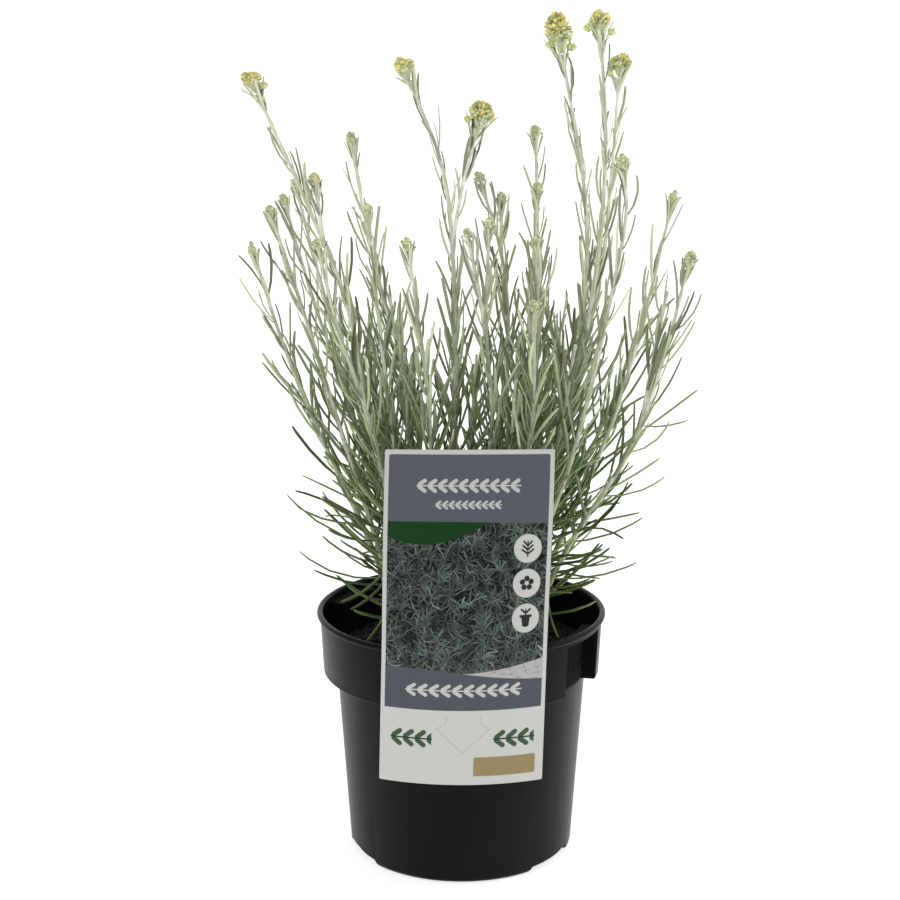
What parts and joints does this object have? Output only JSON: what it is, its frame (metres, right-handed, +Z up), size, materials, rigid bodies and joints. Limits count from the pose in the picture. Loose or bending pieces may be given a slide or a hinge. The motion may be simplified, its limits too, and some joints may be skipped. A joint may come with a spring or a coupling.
{
  "type": "potted curry plant",
  "caption": "Young silver-leaved curry plant with yellow button heads and buds, standing in a round black nursery pot with a plant label on its rim.",
  "frame": {"origin": "centre of the pot's flat underside", "axes": "+Z up the pot and the plant, -Y to the front, where the label hangs, +X to the label's right as seen from the front"},
  "size_m": [0.212, 0.1598, 0.4048],
  "materials": {
    "pot": "satin black injection-moulded plastic",
    "potting_mix": "matt dark crumbs of bark and peat",
    "label": "smooth white printed plastic sheet",
    "foliage": "matt silvery grey-green, felted with fine hairs",
    "buds": "matt pale green, woolly",
    "yellowing_heads": "dry papery scales, pale yellow-green",
    "open_heads": "dry papery scales, mustard yellow"
  },
  "bodies": {
    "root": {"pot": "pot", "potting_mix": "potting_mix", "label": "label", "stem_centre_1": "foliage", "stem_centre_2": "foliage", "stem_centre_3": "foliage", "stem_centre_4": "foliage", "stem_centre_5": "foliage", "stem_left_1": "foliage", "stem_left_2": "foliage", "stem_left_3": "foliage", "stem_left_4": "foliage", "stem_left_5": "foliage", "stem_left_6": "foliage", "stem_left_7": "foliage", "stem_left_8": "foliage", "stem_middle_1": "foliage", "stem_middle_2": "foliage", "stem_middle_3": "foliage", "stem_middle_4": "foliage", "stem_right_1": "foliage", "stem_right_2": "foliage", "stem_right_3": "foliage", "stem_right_4": "foliage", "stem_right_5": "foliage", "stem_right_6": "foliage", "stem_shoot_1": "foliage", "stem_shoot_2": "foliage", "stem_shoot_3": "foliage", "stem_shoot_4": "foliage", "stem_shoot_5": "foliage", "stem_shoot_6": "foliage", "stem_shoot_7": "foliage", "stem_shoot_8": "foliage", "head_centre_1": "buds", "head_centre_2": "buds", "head_centre_3": "buds", "head_centre_4": "buds", "head_left_1": "buds", "head_left_2": "open_heads", "head_left_2_side": "yellowing_heads", "head_left_3": "buds", "head_left_4": "buds", "head_left_5": "buds", "head_left_6": "buds", "head_left_7": "buds", "head_left_8": "buds", "head_middle_1": "open_heads", "head_middle_1_side": "open_heads", "head_middle_2": "buds", "head_middle_3": "buds", "head_middle_3_side": "buds", "head_middle_4": "buds", "head_middle_4_side": "buds", "head_right_1": "open_heads", "head_right_2": "open_heads", "head_right_3": "open_heads", "head_right_4": "buds", "head_right_5": "buds", "head_right_6": "yellowing_heads"}
  },
  "joints": []
}
